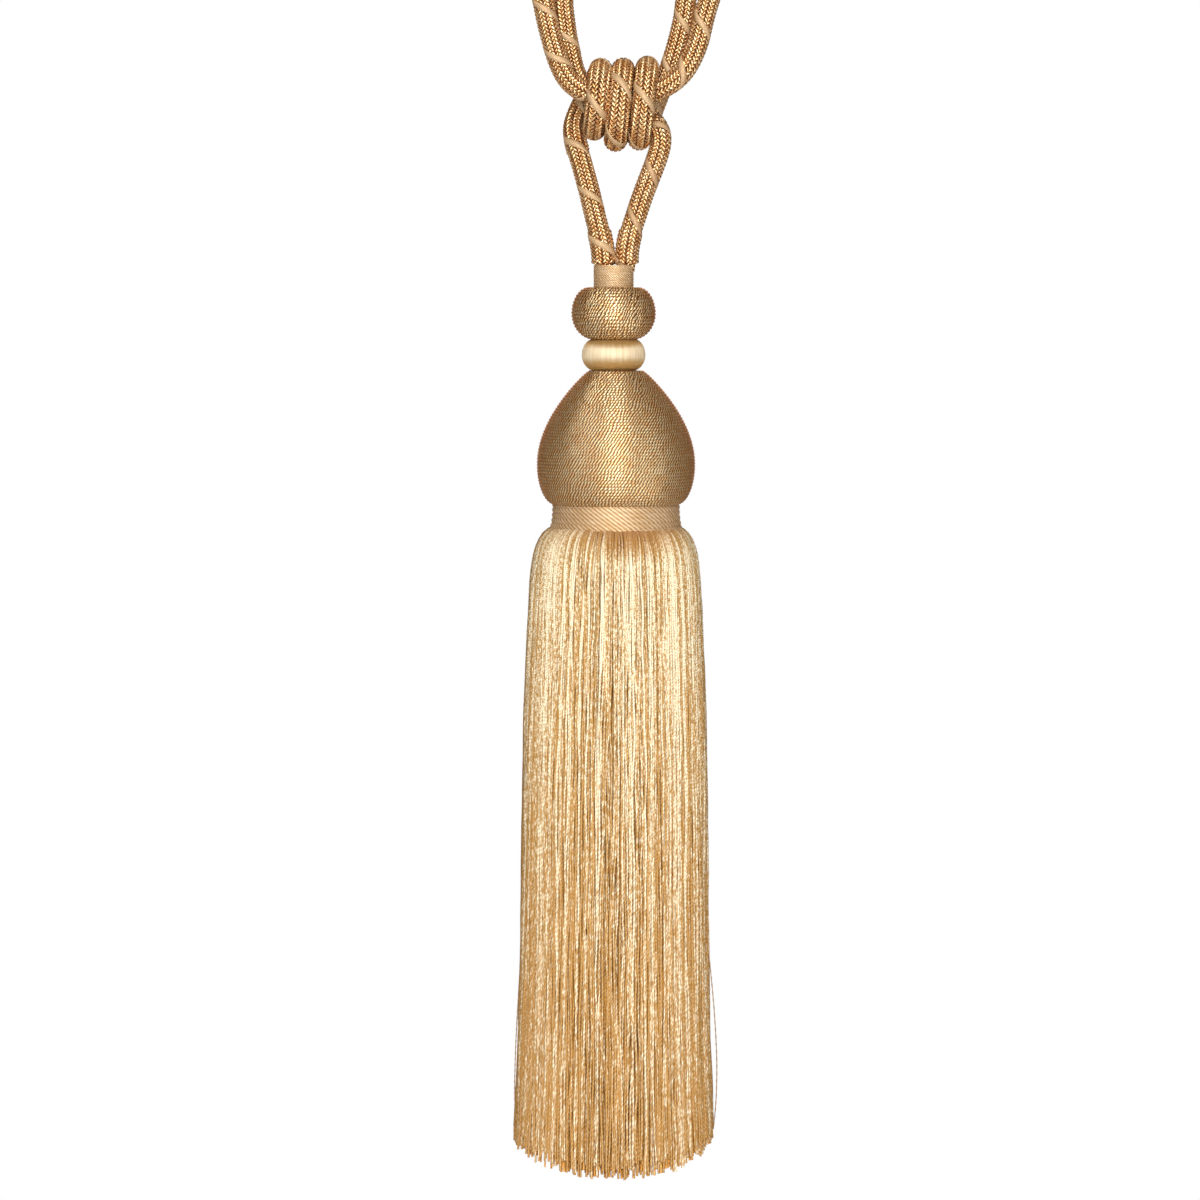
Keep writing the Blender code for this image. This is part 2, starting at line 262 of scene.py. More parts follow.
# %% [markdown]
# ## Thread finishes
#
# Every surface here is thread, so the finishes share one group. It mixes two shades by a number that each
# strand carries and by soft patches, paints shade where little light gets in, and gives the fibres' height.

# %% The shared thread group
PATCH_SCALE = 160.0
FIBRE_SCALE = 3200.0
FIBRE_HEIGHT = 0.00004


def coordinate(tree, output="Object"):
    """Where a point lies on the object, or which way its surface faces."""
    return made(tree, "ShaderNodeTexCoord", output=output)


def carried(tree, name):
    """A number that a tree has stored on the mesh."""
    return made(tree, "ShaderNodeAttribute", output="Fac", attribute_name=name)


def own_strand(tree):
    """The shade that a strand carries."""
    return carried(tree, "strand")


def mixed(factor, first, second):
    """A mix of two colours. The Mix node's colour sockets go by number, because their names repeat."""
    return made(tree_of(factor), "ShaderNodeMix", {0: factor, 6: first, 7: second}, 2, data_type="RGBA")


def build_thread_group():
    """Colour and fibre height of spun thread, with painted shade where openness is low."""
    tree, given, result = new_group("thread", {
        "Light": "Color", "Dark": "Color", "Groove shade": "Color", "Strand": "Float", "Openness": "Float",
        "Patchiness": "Float"}, {"Colour": "Color", "Fibres": "Float"})
    place = coordinate(tree)
    patch = (noise(place, 3.0, PATCH_SCALE) - 0.5) * given("Patchiness")
    thread = mixed(limited(given("Strand") + patch), given("Light"), given("Dark"))
    link(mixed(limited(given("Openness")), given("Groove shade"), thread), result["Colour"])
    link(noise(place, 2.0, FIBRE_SCALE), result["Fibres"])
    return tree


thread_group = build_thread_group()


def thread_material(name, light, dark, groove_shade, strand, openness, roughness, metallic, gloss=1.5,
                    relief=None, relief_height=0.0, patchiness=0.6, edge=(1.0, 1.0, 1.0), satin=0.0):
    """A finish for thread. Strand, openness and relief are functions that add their nodes to the tree.

    Metal-covered thread has an edge colour, for where it turns away. Satin stretches the highlight level
    round an upright form, as fibres do that run up and down it.
    """
    material = bpy.data.materials.new(name)
    material.use_nodes = True
    tree = material.node_tree
    shader = tree.nodes["Principled BSDF"]
    looks = {"Roughness": roughness, "Metallic": metallic, "IOR": gloss, "Specular Tint": (*edge, 1.0),
             "Anisotropic": satin}
    for label, look in looks.items():
        shader.inputs[label].default_value = look
    if satin:
        link(made(tree, "ShaderNodeTangent", direction_type="RADIAL", axis="Z"), shader.inputs["Tangent"])
    # Openness paints shade: where it is low, the thread's colour turns to the groove shade colour.
    group = add_node(tree, "ShaderNodeGroup", {
        "Light": (*light, 1.0), "Dark": (*dark, 1.0), "Groove shade": (*groove_shade, 1.0), "Patchiness": patchiness,
        "Strand": strand(tree), "Openness": openness(tree) if openness else 1.0}, node_tree=thread_group)
    link(Value(group.outputs["Colour"]), shader.inputs["Base Color"])
    height = Value(group.outputs["Fibres"]) * FIBRE_HEIGHT
    if relief:
        height = relief(tree) * relief_height + height
    bump = made(tree, "ShaderNodeBump", {"Height": height, "Strength": 1.0, "Distance": 1.0}, "Normal")
    link(bump, shader.inputs["Normal"])
    return material


# %% [markdown]
# ## Strands laid on a path
#
# A braid is a few dozen yarns that run round the cord's middle line, half of them to the right and half to
# the left. Where two meet, one lies over the other, and on this braid the places where a yarn lies over stay
# in the same columns, which gives the upright rows of arrow heads.
#
# One tree copies the path once for each yarn, pushes each copy out at an angle that grows along it, lifts it
# in the over columns and drops it in the others, and gives it a flat oval section. With no lift, the same
# tree lays a cord's core, tape and whipping, and stray threads.

# %% The tree for braids and other strands
YARNS = 16
OVER_STEEPNESS = 2.2


def store(tree, geometry, name, value, domain="POINT"):
    """Keep a number on the geometry under a name that materials can read."""
    inputs = {"Geometry": geometry, "Name": name, "Value": value}
    return made(tree, "GeometryNodeStoreNamedAttribute", inputs, data_type="FLOAT", domain=domain)


def chance(tree, number, seed, low=0.0, high=1.0):
    """A random number for each strand."""
    return made(tree, "FunctionNodeRandomValue", {"ID": number, "Seed": seed, 2: low, 3: high}, 1,
                data_type="FLOAT")


def copied_line(tree, line, steps, count):
    """A stepped copy of a line for each strand, the strand's number and the share along it."""
    stepped = made(tree, "GeometryNodeResampleCurve", {"Curve": line, "Count": steps}, mode="COUNT")
    copies = add_node(tree, "GeometryNodeDuplicateElements", {"Geometry": stepped, "Amount": count},
                      domain="SPLINE")
    along = made(tree, "GeometryNodeSplineParameter", output="Factor")
    return Value(copies.outputs["Geometry"]), Value(copies.outputs["Duplicate Index"]), along


def finish_tree(tree, geometry, given, result):
    """Every tree ends with real geometry and its material."""
    real = made(tree, "GeometryNodeRealizeInstances", {"Geometry": geometry})
    painted = made(tree, "GeometryNodeSetMaterial", {"Geometry": real, "Material": given("Material")})
    link(painted, result["Geometry"])


def finish_strands(tree, lines, thickness, scale, given, result):
    """Give lines a flat oval section. Its first side points away from the path, along the curve's normal."""
    circle = made(tree, "GeometryNodeCurvePrimitiveCircle", {"Resolution": given("Sides"), "Radius": 0.5})
    section = made(tree, "GeometryNodeTransform",
                   {"Geometry": circle, "Scale": vector_of(thickness, given("Width"), 1.0)})
    tubes = made(tree, "GeometryNodeCurveToMesh",
                 {"Curve": lines, "Profile Curve": section, "Scale": scale, "Fill Caps": True})
    finish_tree(tree, tubes, given, result)


def build_strand_tree():
    """Yarns round a path. A negative number of twists turns them the other way."""
    tree, given, result = new_group("strands on a path", {
        "Path": "Object", "Material": "Material", "Strands": "Int", "Twists": "Float", "Reach": "Float",
        "Lift": "Float", "Width": "Float", "Thickness": "Float", "Points": "Int", "Sides": "Int",
        "Seed": "Int"})
    path = made(tree, "GeometryNodeObjectInfo", {"Object": given("Path")}, "Geometry")
    geometry, number, along = copied_line(tree, path, given("Points"), given("Strands"))
    angle = (along * given("Twists") + number / given("Strands")) * FULL_TURN
    phase = angle * (YARNS / 2) + math.pi / 4
    over = limited(calc("SINE", phase) * calc("SIGN", given("Twists")) * OVER_STEEPNESS, -1.0)
    geometry = store(tree, geometry, "over", over)
    geometry = store(tree, geometry, "dive", calc("COSINE", phase))
    geometry = store(tree, geometry, "strand", chance(tree, number, given("Seed")), "CURVE")
    squeeze = made(tree, "GeometryNodeInputRadius")
    reach = (given("Lift") * over + given("Reach")) * squeeze
    normal = made(tree, "GeometryNodeInputNormal", output="Normal")
    side = vector_calc("CROSS_PRODUCT", made(tree, "GeometryNodeInputTangent"), normal)
    outward = vector_calc("ADD", scaled(normal, calc("COSINE", angle)), scaled(side, calc("SINE", angle)))
    kept = tree.nodes.new("GeometryNodeCaptureAttribute")
    kept.capture_items.new("VECTOR", "outward")
    link(geometry, kept.inputs[0])
    link(outward, kept.inputs[1])
    geometry, outward = Value(kept.outputs[0]), Value(kept.outputs[1])
    moved = made(tree, "GeometryNodeSetPosition", {"Geometry": geometry, "Offset": scaled(outward, reach)})
    turned = made(tree, "GeometryNodeSetCurveNormal", {"Curve": moved, "Normal": outward}, mode="FREE")
    finish_strands(tree, turned, given("Thickness"), squeeze, given, result)
    return tree


strand_tree = build_strand_tree()


def lay_strands(path, material, count, twists, reach, section, points, sides, seed, lift=0.0):
    """Strands round a path. The section is a width and a thickness."""
    return run_tree(strand_tree, {
        "Path": path, "Material": material, "Strands": count, "Twists": twists, "Reach": reach, "Lift": lift,
        "Width": section[0], "Thickness": section[1], "Points": points, "Sides": sides, "Seed": seed})


# %% [markdown]
# ## The cords' routes
#
# The cords lie where their solids lie, so the routes are the same points, in millimetres: across with right
# as plus, depth with back as plus, and height. The knot's three turns are worked out by a loop.

# %% Routes
EMBRACE_ROUTE = (
    (0.6, -3.3, -83.2), (-6.0, -3.3, -83.0), (-11.2, -3.7, -81.8), (-15.6, -3.8, -78.4),
    (-18.6, -3.6, -73.0), (-20.9, -3.3, -65.8), (-22.7, -2.9, -58.8), (-24.4, -2.3, -50.8),
    (-28.0, -1.4, -40.0), (-33.6, -0.5, -28.5), (-36.6, 0.0, -17.5), (-32.4, 0.0, -7.5),
    (-22.3, 0.1, -3.5), (-12.2, 0.2, -7.5), (-8.0, 0.4, -17.5), (-10.8, 1.1, -28.5),
    (-15.6, 1.9, -40.0), (-17.6, 2.5, -50.8), (-16.9, 3.0, -59.5), (-15.3, 3.5, -68.8),
    (-13.2, 3.7, -76.4), (-8.8, 3.5, -82.0), (-2.0, 3.3, -83.6), (5.0, 3.3, -83.6),
    (11.0, 3.5, -82.6), (15.7, 3.7, -78.8), (18.5, 3.6, -72.2), (20.8, 3.2, -64.4),
    (22.6, 2.5, -56.0), (22.9, 2.0, -47.0), (19.8, 1.2, -36.0), (15.4, 0.4, -26.0),
    (14.0, 0.1, -16.5), (18.3, 0.0, -7.5), (28.3, 0.0, -3.5), (38.4, -0.1, -7.5),
    (42.6, -0.3, -17.5), (39.4, -0.9, -30.5), (33.6, -1.8, -43.5), (29.4, -2.7, -56.0),
    (26.2, -3.3, -68.0), (21.8, -3.7, -76.0), (15.6, -3.8, -80.8), (8.6, -3.4, -83.0),
    (1.4, -3.3, -83.2),
)
LEG_ROUTE = (
    (-3.9, 0.0, -140.7), (-4.1, 0.0, -138.9), (-4.3, 0.0, -134.8), (-5.4, 0.0, -128.8), (-7.1, 0.2, -122.1),
    (-8.9, 0.8, -114.5), (-10.9, 2.3, -107.1), (-12.6, 4.4, -101.2), (-13.5, 6.5, -97.0),
    (-13.6, 8.9, -92.9), (-12.0, 11.2, -88.0),
)
TAIL_ROUTE = (
    (3.3, 0.0, -140.7), (3.5, 0.0, -138.9), (3.6, 0.0, -134.8), (4.7, 0.0, -128.8), (6.8, 0.0, -122.1),
    (9.4, 0.0, -114.5), (12.0, 0.0, -107.8), (13.8, 0.0, -102.8), (14.7, 0.0, -98.4),
    (14.0, 0.0, -94.4), (11.7, 0.0, -91.6), (8.4, 0.0, -90.4), (4.6, 0.0, -90.2),
    (0.6, 0.0, -90.2),
)
# The three turns of the knot. Columns: across at the top, height there, across at the bottom, height there
TURNS = ((-5.0, -74.9, -7.2, -94.2), (2.3, -74.8, -0.2, -97.9), (10.3, -74.2, 7.6, -97.5))
TURN_DEPTH = 12.0
TURN_SQUARENESS = 2.2
TURN_POINTS = 16
TURN_ADVANCE = 9.9
FIRST_TURN_START = -0.36
LAST_TURN_END = 0.62
# The cords flatten against each other at the neck and in the knot, and thin out where the turns hide them
NECK_SPREAD_HEIGHT = -128.0
NECK_SPREAD = 1.13
NECK_PINCH_HEIGHT = -138.6
NECK_PINCH = 0.8
KNOT_TOP = -70.0
KNOT_BOTTOM = -102.0
KNOT_HALF_WIDTH = 21.0
TURN_SPREAD = 1.09
HIDDEN_MIDDLE = 1.5
HIDDEN_HALF_WIDTH = 11.0
HIDDEN_SQUEEZE = 0.8


def smooth_line(points, steps=16):
    """A smooth curve through the points: a centripetal Catmull-Rom spline."""
    points = [Vector(point) for point in points]
    padded = [2 * points[0] - points[1], *points, 2 * points[-1] - points[-2]]
    line = []
    for before, start, end, after in zip(padded, padded[1:], padded[2:], padded[3:]):
        t1 = (start - before).length ** 0.5
        t2 = t1 + (end - start).length ** 0.5
        t3 = t2 + (after - end).length ** 0.5
        for step in range(steps):
            t = t1 + (t2 - t1) * step / steps
            a1 = before.lerp(start, t / t1)
            a2 = start.lerp(end, (t - t1) / (t2 - t1))
            a3 = end.lerp(after, (t - t2) / (t3 - t2))
            b1 = a1.lerp(a2, t / t2)
            b2 = a2.lerp(a3, (t - t1) / (t3 - t1))
            line.append(b1.lerp(b2, (t - t1) / (t2 - t1)))
    line.append(points[-1])
    return line


def turn_points():
    """The middle line of the knot's turns, front passes going down and back passes going up."""
    across = [TURNS[0][0] - TURN_ADVANCE]
    heights = [TURNS[0][3]]
    for top_x, top_z, bottom_x, bottom_z in TURNS:
        across += [top_x, bottom_x]
        heights += [top_z, bottom_z]
    across.append(TURNS[-1][2] + TURN_ADVANCE)
    heights.append(TURNS[-1][1])
    power = 2 / TURN_SQUARENESS
    last = 2 * len(TURNS) - 1 + LAST_TURN_END
    count = int((last - FIRST_TURN_START) / 2 * TURN_POINTS)
    points = []
    for index in range(count + 1):
        half_turns = FIRST_TURN_START + (last - FIRST_TURN_START) * index / count
        stage = math.floor(half_turns) + 1
        share = (1 - math.cos((half_turns - stage + 1) * math.pi)) / 2
        x = across[stage] + (across[stage + 1] - across[stage]) * share
        middle = (heights[stage] + heights[stage + 1]) / 2
        half_height = abs(heights[stage + 1] - heights[stage]) / 2
        rise = math.cos(half_turns * math.pi)
        depth = -math.sin(half_turns * math.pi)
        z = middle + half_height * math.copysign(abs(rise) ** power, rise)
        y = TURN_DEPTH * math.copysign(abs(depth) ** power, depth)
        points.append((x, y, z))
    return points


def squeeze_at(point, hidden):
    """How far a cord is spread or squeezed where it touches others."""
    if point.z < NECK_PINCH_HEIGHT:
        return NECK_PINCH
    if point.z < NECK_SPREAD_HEIGHT:
        return NECK_SPREAD
    if not (KNOT_BOTTOM < point.z < KNOT_TOP and abs(point.x) < KNOT_HALF_WIDTH):
        return 1.0
    if hidden and abs(point.x - HIDDEN_MIDDLE) < HIDDEN_HALF_WIDTH:
        return HIDDEN_SQUEEZE
    return 1.0 if hidden else TURN_SPREAD


def line_length(line):
    """The length of a line, in the unit of its points."""
    return sum((there - here).length for here, there in zip(line, line[1:]))


embrace_line = smooth_line(EMBRACE_ROUTE)
loop_line = smooth_line([*LEG_ROUTE, *turn_points()])
tail_line = smooth_line(TAIL_ROUTE)

# %% [markdown]
# ## Braid finish
#
# The yarns have a metallic gold glint. Shade is painted on them: they are lightest where they lie over and
# turn deep brown where they dive under the others. A flat, matt tan tape is worked round the braid as a
# slow spiral.

# %% Materials for the braided cord
METAL_EDGE = (0.46, 0.15, 0.02)


def over_openness(tree):
    """Painted shade: light where a yarn lies over, darker where it goes under, and darkest where it dives.
    """
    return carried(tree, "dive") * -0.5 + (carried(tree, "over") * 0.5 + 0.42)


braid_gold = thread_material("braid_gold", (0.97, 0.75, 0.43), (0.72, 0.41, 0.17), (0.20, 0.055, 0.016),
                             own_strand, over_openness, roughness=0.32, metallic=0.85, edge=METAL_EDGE)
# The core fills the braid; its near-black brown is painted shade, seen through the holes between the yarns.
braid_core_shade = thread_material("braid_core_shade", (0.16, 0.05, 0.015), (0.10, 0.03, 0.01), (0.03, 0.012, 0.005),
                             own_strand, None, roughness=0.8, metallic=0.0)
tan_tape = thread_material("tan_tape", (0.55, 0.38, 0.21), (0.46, 0.29, 0.15), (0.3, 0.18, 0.1),
                           own_strand, None, roughness=0.6, metallic=0.2)

# %% [markdown]
# ## The braided cord
#
# Sixteen yarns each way make a braid about 7 mm thick. The embrace is one closed loop whose ends meet inside
# the knot. The tassel's own loop goes from the neck up and three times round the embrace, and its other leg
# comes back down from under the turns.

# %% Braid the three cords
BRAID_LAY = 21 * MM
BRAID_REACH = 2.82 * MM
BRAID_LIFT = 0.36 * MM
YARN_SECTION = (0.96 * MM, 0.84 * MM)
CORE_WIDTH = 4.9 * MM
CORE_STEP = 3 * MM
TAPE_LAY = 16.7 * MM
TAPE_REACH = 3.47 * MM
TAPE_SECTION = (2.2 * MM, 0.24 * MM)
TAPE_STEP = 0.7 * MM
# The loop cord's end is whipped with a few close turns of thread
WHIPPED_POINTS = 12
WHIPPING_REACH = 3.55 * MM
WHIPPING_SECTION = (0.9 * MM, 0.6 * MM)


def braid(name, line, node, hidden, seed, extra=()):
    """A braided cord along a line in millimetres, with one step from each crossing to the next."""
    squeezes = [squeeze_at(point, hidden) for point in line]
    path = guide_curve(name + "_path", [point * MM for point in line], squeezes)
    length = line_length(line) * MM
    crossings = round(2 * YARNS * length / BRAID_LAY)
    meshes = [lay_strands(path, braid_gold, YARNS, hand * crossings / (2 * YARNS), BRAID_REACH, YARN_SECTION,
                          crossings + 1, 4, seed + 10 * hand, BRAID_LIFT) for hand in (1, -1)]
    meshes.append(lay_strands(path, braid_core_shade, 1, 0.0, 0.0, (CORE_WIDTH, CORE_WIDTH),
                              round(length / CORE_STEP), 10, seed))
    meshes.append(lay_strands(path, tan_tape, 1, -length / TAPE_LAY, TAPE_REACH, TAPE_SECTION,
                              round(length / TAPE_STEP), 6, seed))
    piece = add_piece(name, [*meshes, *extra])
    bpy.data.objects.remove(path)
    settle(piece, node, "braided_cord")
    way = [tuple(point * MM) for point in line]
    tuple(way[0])


whipping_path = guide_curve("whipping_path", [point * MM for point in loop_line[-WHIPPED_POINTS:]])
whipping = lay_strands(whipping_path, tan_tape, count=2, twists=3.0, reach=WHIPPING_REACH,
                       section=WHIPPING_SECTION, points=90, sides=6, seed=8)
bpy.data.objects.remove(whipping_path)

braid("embrace_braid", embrace_line, "embrace_cord", True, 1)
braid("loop_braid", loop_line, "loop_cord", False, 2, [whipping])
braid("tail_braid", tail_line, "loop_tail", True, 3)

# %% [markdown]
# ## A tree for windings
#
# The head and the round bead are wound with gimp: two fine metal-covered threads twisted together and laid
# row on row. Nearly six metres of it would take too many faces, so the tree bends a grid round an outline,
# with the grid's lines along the thread's slow spiral, and raises each row as a half-round ridge.
#
# Each face stores how many twist marks its row has, for the material to draw, and each point its place in
# turns from the top. Where a cord is thick enough for its twist to show, the tree raises the marks as well.

# %% The tree for wound thread
ROW_STEPS = 4
GRID_END = 0.49999
MERGE_DISTANCE = 0.00001


def guide_place(tree, guide, share):
    """Place and direction on a guide, at a share of its length."""
    line = made(tree, "GeometryNodeObjectInfo", {"Object": guide}, "Geometry")
    node = add_node(tree, "GeometryNodeSampleCurve", {"Curves": line, "Factor": share}, mode="FACTOR",
                    use_all_curves=True)
    return parts_of(Value(node.outputs["Position"])), parts_of(Value(node.outputs["Tangent"]))


def half_round(share):
    """The height of a half-round ridge, from 0 at its edges to 1 on its crest."""
    away = share * 2.0 - 1.0
    return calc("SQRT", calc("MAXIMUM", 1.0 - away * away, 0.0))


def turned_group(name, inputs):
    """A tree for a covered form that is turned about the upright axis."""
    return new_group(name, {
        "Outline": "Object", "Material": "Material", "Ridge": "Float", "Depth": "Float", "Centre": "Vector",
        **inputs})


def unit_grid(tree, columns, rows):
    """A grid, each point's share of the way round, and its level from -0.5 to 0.5."""
    grid = made(tree, "GeometryNodeMeshGrid",
                {"Size X": 1.0, "Size Y": 1.0, "Vertices X": columns, "Vertices Y": rows})
    place = parts_of(made(tree, "GeometryNodeInputPosition"))
    return grid, place[0] + 0.5, place[1]


def bend_round(tree, geometry, share_round, level, share_down, sink, given, result):
    """Bend a grid round the outline, sink its grooves, and close it at both ends."""
    spot, way = guide_place(tree, given("Outline"), share_down)
    at_end = calc("GREATER_THAN", calc("ABSOLUTE", level), GRID_END)
    radius = (spot[0] - way[2] * sink) * (1.0 - at_end)
    angle = share_round * FULL_TURN + math.pi / 2
    ring = vector_of(calc("COSINE", angle) * radius, calc("SINE", angle) * (radius * given("Depth")),
                     way[0] * sink + spot[2])
    place = vector_calc("ADD", ring, given("Centre"))
    moved = made(tree, "GeometryNodeSetPosition", {"Geometry": geometry, "Position": place})
    closed = made(tree, "GeometryNodeMergeByDistance", {"Geometry": moved, "Distance": MERGE_DISTANCE})
    finish_tree(tree, closed, given, result)


def build_winding_tree():
    """A surface wound with thread, whose two ends fade into the form within a quarter of a turn."""
    tree, given, result = turned_group("winding", {
        "Turns": "Int", "Around": "Int", "Mark": "Float", "Slant": "Float", "Relief": "Float"})
    turns = given("Turns")
    spans = turns + 1.0
    grid, share_round, level = unit_grid(tree, given("Around") + 1.0, spans * float(ROW_STEPS) + 1.0)
    spiral = (level + 0.5) * spans
    free_turn = spiral - share_round
    turn = limited(free_turn, 0.0, turns)
    row_place, _ = guide_place(tree, given("Outline"), limited(calc("FLOOR", spiral) / turns))
    marks = calc("ROUND", row_place[0] * math.pi / given("Mark")) * 2.0
    geometry = store(tree, grid, "marks", marks, "FACE")
    geometry = store(tree, geometry, "turn", turn)
    fade = limited(calc("MINIMUM", free_turn * 4.0, (turns - free_turn) * 4.0))
    sink = (half_round(calc("FRACT", spiral)) * fade - 1.0) * given("Ridge")
    phase = share_round * (marks + given("Slant")) + spiral * given("Slant")
    hollow = calc("SINE", phase * FULL_TURN) * 0.5 - 0.5
    sink = hollow * given("Relief") + sink
    bend_round(tree, geometry, share_round, level, turn / turns, sink, given, result)
    return tree


winding_tree = build_winding_tree()

# %% [markdown]
# ## Marks of a twisted thread
#
# A group works out where a point lies in its row, from the turns stored on the surface and the angle round
# the axis. It gives a crest across the row, low in the grooves, and the slanting marks of the twist along
# it.
# The material paints shade by both and raises the marks a little. The marks run on from turn to turn, so
# nothing jumps at the back.

# %% The shared winding group
LOOSENESS_BY_ROW = 0.7
LOOSENESS_ROUND = 22.0


def build_marks_group():
    """Crest and twist marks of a wound thread. The wobble shifts the marks here and there along a row."""
    tree, given, result = new_group("winding marks", {
        "Turn": "Float", "Marks": "Float", "Slant": "Float", "Wobble": "Float", "Centre": "Vector"},
        {"Crest": "Float", "Mark": "Float", "Shade": "Float"})
    x, y, _ = parts_of(vector_calc("SUBTRACT", coordinate(tree), given("Centre")))
    share_round = calc("FRACT", calc("ARCTAN2", y, x) * (1 / FULL_TURN) + 0.75)
    spiral = given("Turn") + share_round
    row = calc("FLOOR", spiral)
    link(half_round(calc("FRACT", spiral)), result["Crest"])
    phase = share_round * (given("Marks") + given("Slant")) + spiral * given("Slant")
    loose = noise(vector_of(row * LOOSENESS_BY_ROW, share_round * LOOSENESS_ROUND, 0.0), 1.0)
    phase = (loose - 0.5) * given("Wobble") + phase
    link(limited(calc("SINE", phase * FULL_TURN) * 0.8 + 0.5), result["Mark"])
    shade = made(tree, "ShaderNodeTexWhiteNoise", {"Vector": vector_of(calc("FLOOR", phase), row, 0.0)},
                 "Value", noise_dimensions="2D")
    link(shade, result["Shade"])
    return tree


marks_group = build_marks_group()


def wound_material(name, centre, slant, wobble, crest_weight, mark_weight, **looks):
    """Wound thread. The weights say how dark the painted shade is in the grooves between rows and between
    marks.
    """
    def found(tree, label):
        """What the marks group gives. A tree holds it once, and feeds it with what the surface carries."""
        node = tree.nodes.get("marks") or add_node(tree, "ShaderNodeGroup", {
            "Turn": carried(tree, "turn"), "Marks": carried(tree, "marks"), "Centre": centre,
            "Slant": slant, "Wobble": wobble}, node_tree=marks_group, name="marks")
        return Value(node.outputs[label])

    def openness(tree):
        """The product of both painted shadings."""
        by_row = found(tree, "Crest") * crest_weight + (1.0 - crest_weight)
        by_mark = found(tree, "Mark") * mark_weight + (1.05 - mark_weight)
        return by_row * by_mark

    return thread_material(name, strand=lambda tree: found(tree, "Shade"), openness=openness,
                           relief=lambda tree: found(tree, "Mark"), edge=METAL_EDGE, **looks)


# The weights and the groove shade colour set how dark the painted shade is between rows and between marks.
# Wound threads. With its slant, a mark runs that share of its spacing along the row as it crosses it
GIMP = {"slant": 0.62, "wobble": 2.0, "crest_weight": 0.4, "mark_weight": 0.9,
        "light": (1.0, 0.83, 0.50), "dark": (0.92, 0.59, 0.27), "groove_shade": (0.11, 0.03, 0.008),
        "roughness": 0.38, "metallic": 0.85, "relief_height": 0.00012}
CORD = {"slant": -1.3, "wobble": 0.0, "crest_weight": 0.3, "mark_weight": 0.75,
        "light": (0.76, 0.60, 0.39), "dark": (0.63, 0.45, 0.25), "groove_shade": (0.28, 0.14, 0.05),
        "roughness": 0.52, "metallic": 0.35, "relief_height": 0.00005}


# %% [markdown]
# ## The wound head and bead
#
# The outlines come from the solids that these surfaces cover. The head is pear-shaped, widest low down,
# and drawn in to the collar. The bead is a squat round with small flat ends.

# %% Outlines
# Thread fills the narrow gap that two solids keep, so it reaches this much further up and down than they do
SEAT = 0.35
BEAD_SHOULDERS = (8.2, 6.4)
RING_SHOULDERS = (6.4, 6.0)
HEAD_TOP_RADIUS = 8.7
HEAD_FOOT_RADIUS = 20.3
HEAD_WIDEST = 204.9
HEAD_FULLNESS = 0.84


def covered_sizes(node):
    """Radius, top, bottom and middle of the thread that covers a turned solid, in millimetres."""
    low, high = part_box(node)
    radius = (high[0] - low[0]) / 2 / MM
    return radius, high[2] / MM + SEAT, low[2] / MM - SEAT, (low[0] + high[0]) / 2 / MM


def bead_outline(shoulders, radius, top, bottom, steps=32):
    """A rounded bead between two small flat ends. Shoulders are the radii of these."""
    outline = []
    for index in range(steps + 1):
        turn = math.pi * index / steps
        shoulder = shoulders[0] if index < steps / 2 else shoulders[1]
        bulge = (radius - shoulder) * math.sin(turn)
        outline.append((shoulder + bulge, (top + bottom) / 2 + (top - bottom) / 2 * math.cos(turn)))
    return outline


def head_outline(radius, top, bottom, steps=32):
    """Narrow at the neck, widest low down, drawn in to the collar."""
    outline = []
    for index in range(steps + 1):
        share = 1 - index / steps
        swell = math.cos(share * math.pi / 2) ** HEAD_FULLNESS
        height = -HEAD_WIDEST + (top + HEAD_WIDEST) * share
        outline.append((HEAD_TOP_RADIUS + (radius - HEAD_TOP_RADIUS) * swell, height))
    for index in range(1, steps // 2 + 1):
        turn = math.pi / 2 * index / (steps // 2)
        outline.append((HEAD_FOOT_RADIUS + (radius - HEAD_FOOT_RADIUS) * math.cos(turn),
                        -HEAD_WIDEST + (bottom + HEAD_WIDEST) * math.sin(turn)))
    return outline


# %% Wind the head and the bead
HEAD_TURNS = 50
HEAD_COLUMNS = 240
BEAD_TURNS = 20
BEAD_COLUMNS = 180
# A row's height and its marks' spacing, in millimetres
GIMP_SIZES = (0.34, 1.12)


def cover(tree, name, node, slot_name, outline, middle, values):
    """Run a tree round an outline, and let its piece take the place of a turned solid."""
    guide = guide_curve(name + "_outline", [(radius * MM, 0.0, height * MM) for radius, height in outline])
    mesh = run_tree(tree, {"Outline": guide, "Centre": (middle * MM, 0.0, 0.0), **values})
    bpy.data.objects.remove(guide)
    settle(add_piece(name, [mesh]), node, slot_name)


def wind(name, node, kind, outline, turns, columns, sizes, relief=0.0, depth=1.0, middle=0.0):
    """A piece wound with one kind of thread: its slot (not used), the end of its material's name, and its
    looks.
    """
    slot_name, ending, looks = kind
    ridge, mark = sizes
    cover(winding_tree, name, node, slot_name, outline, middle, {
        "Material": wound_material(name + ending, (middle * MM, 0.0, 0.0), **looks), "Turns": turns,
        "Around": columns, "Ridge": ridge * MM, "Mark": mark * MM, "Slant": looks["slant"],
        "Relief": relief * MM, "Depth": depth})


gimp_kind = ("gold_winding", "_gimp", GIMP)
*head_sizes, _ = covered_sizes("head")
wind("wound_head", "head", gimp_kind, head_outline(*head_sizes), HEAD_TURNS, HEAD_COLUMNS, GIMP_SIZES)
*bead_sizes, bead_middle = covered_sizes("upper_bead")
wind("wound_bead", "upper_bead", gimp_kind, bead_outline(BEAD_SHOULDERS, *bead_sizes), BEAD_TURNS,
     BEAD_COLUMNS, GIMP_SIZES, middle=bead_middle)

